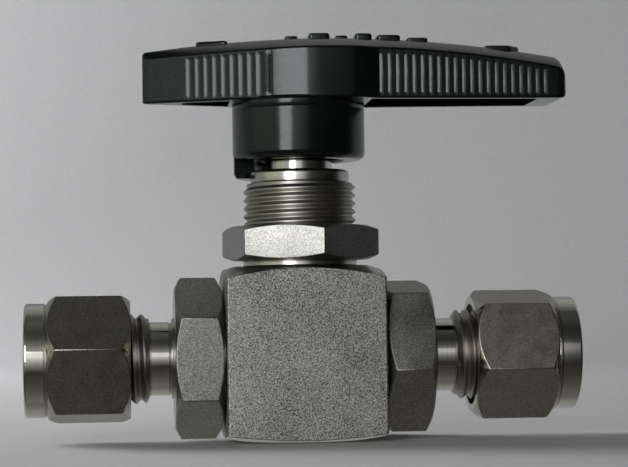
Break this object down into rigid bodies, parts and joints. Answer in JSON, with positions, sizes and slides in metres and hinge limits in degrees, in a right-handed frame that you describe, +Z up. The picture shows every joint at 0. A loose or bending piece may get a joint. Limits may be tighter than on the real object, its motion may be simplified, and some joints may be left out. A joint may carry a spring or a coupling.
{
  "type": "panel-mount ball valve",
  "caption": "Quarter-turn instrument ball valve with a square steel body, panel nut, black lever handle and compression tube fittings at both ends.",
  "frame": {"origin": "centre of the body's flat bottom face, on the stem axis", "axes": "+Z up along the stem, +X along the flow axis towards the handle's long arm when open, +Y away from the front of the valve"},
  "size_m": [0.067, 0.0194, 0.0495],
  "materials": {
    "blasted_steel": "fine blasted stainless steel",
    "machined_steel": "turned and milled stainless steel, satin",
    "polished_steel": "finely turned stainless steel, bright",
    "spring_steel": "bright spring-temper stainless steel",
    "black_nylon": "glossy moulded black nylon",
    "white_ptfe": "waxy white PTFE",
    "black_elastomer": "black elastomer",
    "brass": "turned brass"
  },
  "bodies": {
    "valve_body": {"body": "blasted_steel", "left_end_connector": "machined_steel", "right_end_connector": "machined_steel", "packing_bolt": "polished_steel", "stem_thrust_washer": "white_ptfe", "lower_packing": "white_ptfe", "upper_packing": "white_ptfe", "packing_gland": "machined_steel", "lower_disc_spring": "spring_steel", "upper_disc_spring": "spring_steel", "left_seat": "white_ptfe", "right_seat": "white_ptfe", "left_seat_spring": "spring_steel", "right_seat_spring": "spring_steel", "left_body_seal": "black_elastomer", "right_body_seal": "black_elastomer"},
    "handle_assembly": {"handle": "black_nylon", "handle_insert": "brass", "handle_set_screw": "spring_steel", "stem": "polished_steel"},
    "flow_ball": {"ball": "polished_steel"},
    "panel_nut": {"panel_nut": "machined_steel"},
    "left_ferrules": {"left_front_ferrule": "machined_steel", "left_back_ferrule": "machined_steel"},
    "left_tube_nut": {"left_tube_nut": "machined_steel"},
    "right_ferrules": {"right_front_ferrule": "machined_steel", "right_back_ferrule": "machined_steel"},
    "right_tube_nut": {"right_tube_nut": "machined_steel"}
  },
  "joints": [
    {"name": "handle_turn", "type": "hinge", "parent": "valve_body", "child": "handle_assembly", "pos_m": [0, 0, 0.01], "axis": [0, 0, 1], "range_deg": [-90, 0]},
    {"name": "ball_turn", "type": "hinge", "parent": "valve_body", "child": "flow_ball", "pos_m": [0, 0, 0.01], "axis": [0, 0, 1], "range_deg": [-90, 0]},
    {"name": "panel_nut_travel", "type": "slide", "parent": "valve_body", "child": "panel_nut", "axis": [0, 0, 1], "range_m": [0, 0.005]},
    {"name": "left_ferrule_travel", "type": "slide", "parent": "valve_body", "child": "left_ferrules", "axis": [-1, 0, 0], "range_m": [0, 0.00635]},
    {"name": "left_nut_turn", "type": "hinge", "parent": "left_ferrules", "child": "left_tube_nut", "pos_m": [-0.027, 0, 0.01], "axis": [-1, 0, 0], "range_deg": [0, 1800]},
    {"name": "right_ferrule_travel", "type": "slide", "parent": "valve_body", "child": "right_ferrules", "axis": [1, 0, 0], "range_m": [0, 0.00635]},
    {"name": "right_nut_turn", "type": "hinge", "parent": "right_ferrules", "child": "right_tube_nut", "pos_m": [0.027, 0, 0.01], "axis": [1, 0, 0], "range_deg": [0, 1800]}
  ],
  "couplings": [
    {"joint": "ball_turn", "follows": "handle_turn", "ratio": 1},
    {"joint": "left_ferrule_travel", "follows": "left_nut_turn", "m_per_rad": 0.00020213},
    {"joint": "right_ferrule_travel", "follows": "right_nut_turn", "m_per_rad": 0.00020213}
  ]
}
